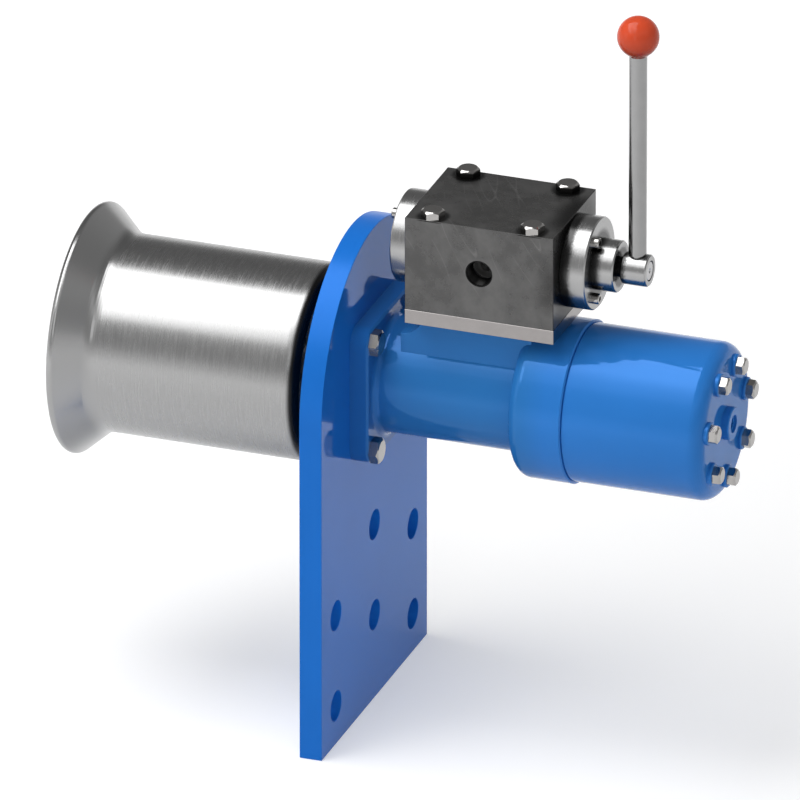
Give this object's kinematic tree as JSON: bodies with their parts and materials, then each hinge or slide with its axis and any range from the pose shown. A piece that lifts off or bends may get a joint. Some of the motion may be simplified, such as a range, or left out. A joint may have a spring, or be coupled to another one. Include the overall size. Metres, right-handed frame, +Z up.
{
  "type": "hydraulic net hauler",
  "caption": "Hydraulic net hauler: a flared steel drum on an orbit motor, bolted through a round-topped mounting plate, with a hand lever valve on top of the motor.",
  "frame": {"origin": "centre of the four corner holes of the mounting plate, on the plate's drum side", "axes": "+X along the shaft from the drum to the motor, +Z up, +Y across the plate"},
  "size_m": [0.5237, 0.239, 0.6022],
  "materials": {
    "plate_enamel": "smooth gloss enamel",
    "motor_enamel": "gloss enamel on a casting",
    "drum_steel": "brushed round the drum",
    "valve_iron": "dark oiled iron, milled",
    "adaptor_steel": "ground",
    "turned_steel": "bright turned",
    "bolt_steel": "zinc plated",
    "lever_steel": "satin",
    "inner_steel": "ground and hardened",
    "bronze": "bearing bronze",
    "seal_rubber": "oiled rubber",
    "knob_red": "gloss"
  },
  "bodies": {
    "root": {"mounting_plate": "plate_enamel", "motor_housing": "motor_enamel", "rear_cover": "motor_enamel", "distributor_plate": "inner_steel", "roller_ring": "inner_steel", "ring_rollers": "inner_steel", "front_bush": "bronze", "rear_bush": "bronze", "thrust_washer": "bronze", "shaft_seal": "seal_rubber", "flange_bolts": "bolt_steel", "cover_bolts": "bolt_steel", "drain_plug": "motor_enamel", "cover_seal": "seal_rubber", "adaptor_plate": "adaptor_steel", "adaptor_screws": "bolt_steel", "oilway_seals": "seal_rubber", "valve_block": "valve_iron", "valve_bolts": "bolt_steel", "left_cap": "turned_steel", "left_cap_screws": "bolt_steel", "right_cap": "turned_steel", "right_cap_screws": "bolt_steel", "stem_bush": "turned_steel", "stem_seal": "seal_rubber"},
    "drum": {"drum_shell": "drum_steel", "drum_flare": "drum_steel", "drum_web": "drum_steel", "drum_key": "inner_steel", "end_washer": "bolt_steel", "end_bolt": "bolt_steel", "output_shaft": "inner_steel"},
    "cardan": {"cardan_shaft": "inner_steel"},
    "rotor": {"rotor": "inner_steel"},
    "lever": {"spool": "inner_steel", "spool_seals": "seal_rubber", "lever_hub": "turned_steel", "hub_screw": "bolt_steel", "lever_rod": "lever_steel", "ball_knob": "knob_red"}
  },
  "joints": [
    {"name": "drum_spin", "type": "hinge", "parent": "root", "child": "drum", "pos_m": [0, 0, 0.206], "axis": [1, 0, 0], "continuous": true},
    {"name": "cardan_orbit", "type": "hinge", "parent": "root", "child": "cardan", "pos_m": [0, 0, 0.206], "axis": [1, 0, 0], "continuous": true},
    {"name": "rotor_spin", "type": "hinge", "parent": "cardan", "child": "rotor", "pos_m": [0, 0.0029, 0.206], "axis": [1, 0, 0], "continuous": true},
    {"name": "lever_swing", "type": "hinge", "parent": "root", "child": "lever", "pos_m": [0, 0, 0.323], "axis": [1, 0, 0], "range_deg": [-45, 45]}
  ],
  "couplings": [
    {"joint": "cardan_orbit", "follows": "drum_spin", "ratio": -6},
    {"joint": "rotor_spin", "follows": "drum_spin", "ratio": 7}
  ]
}
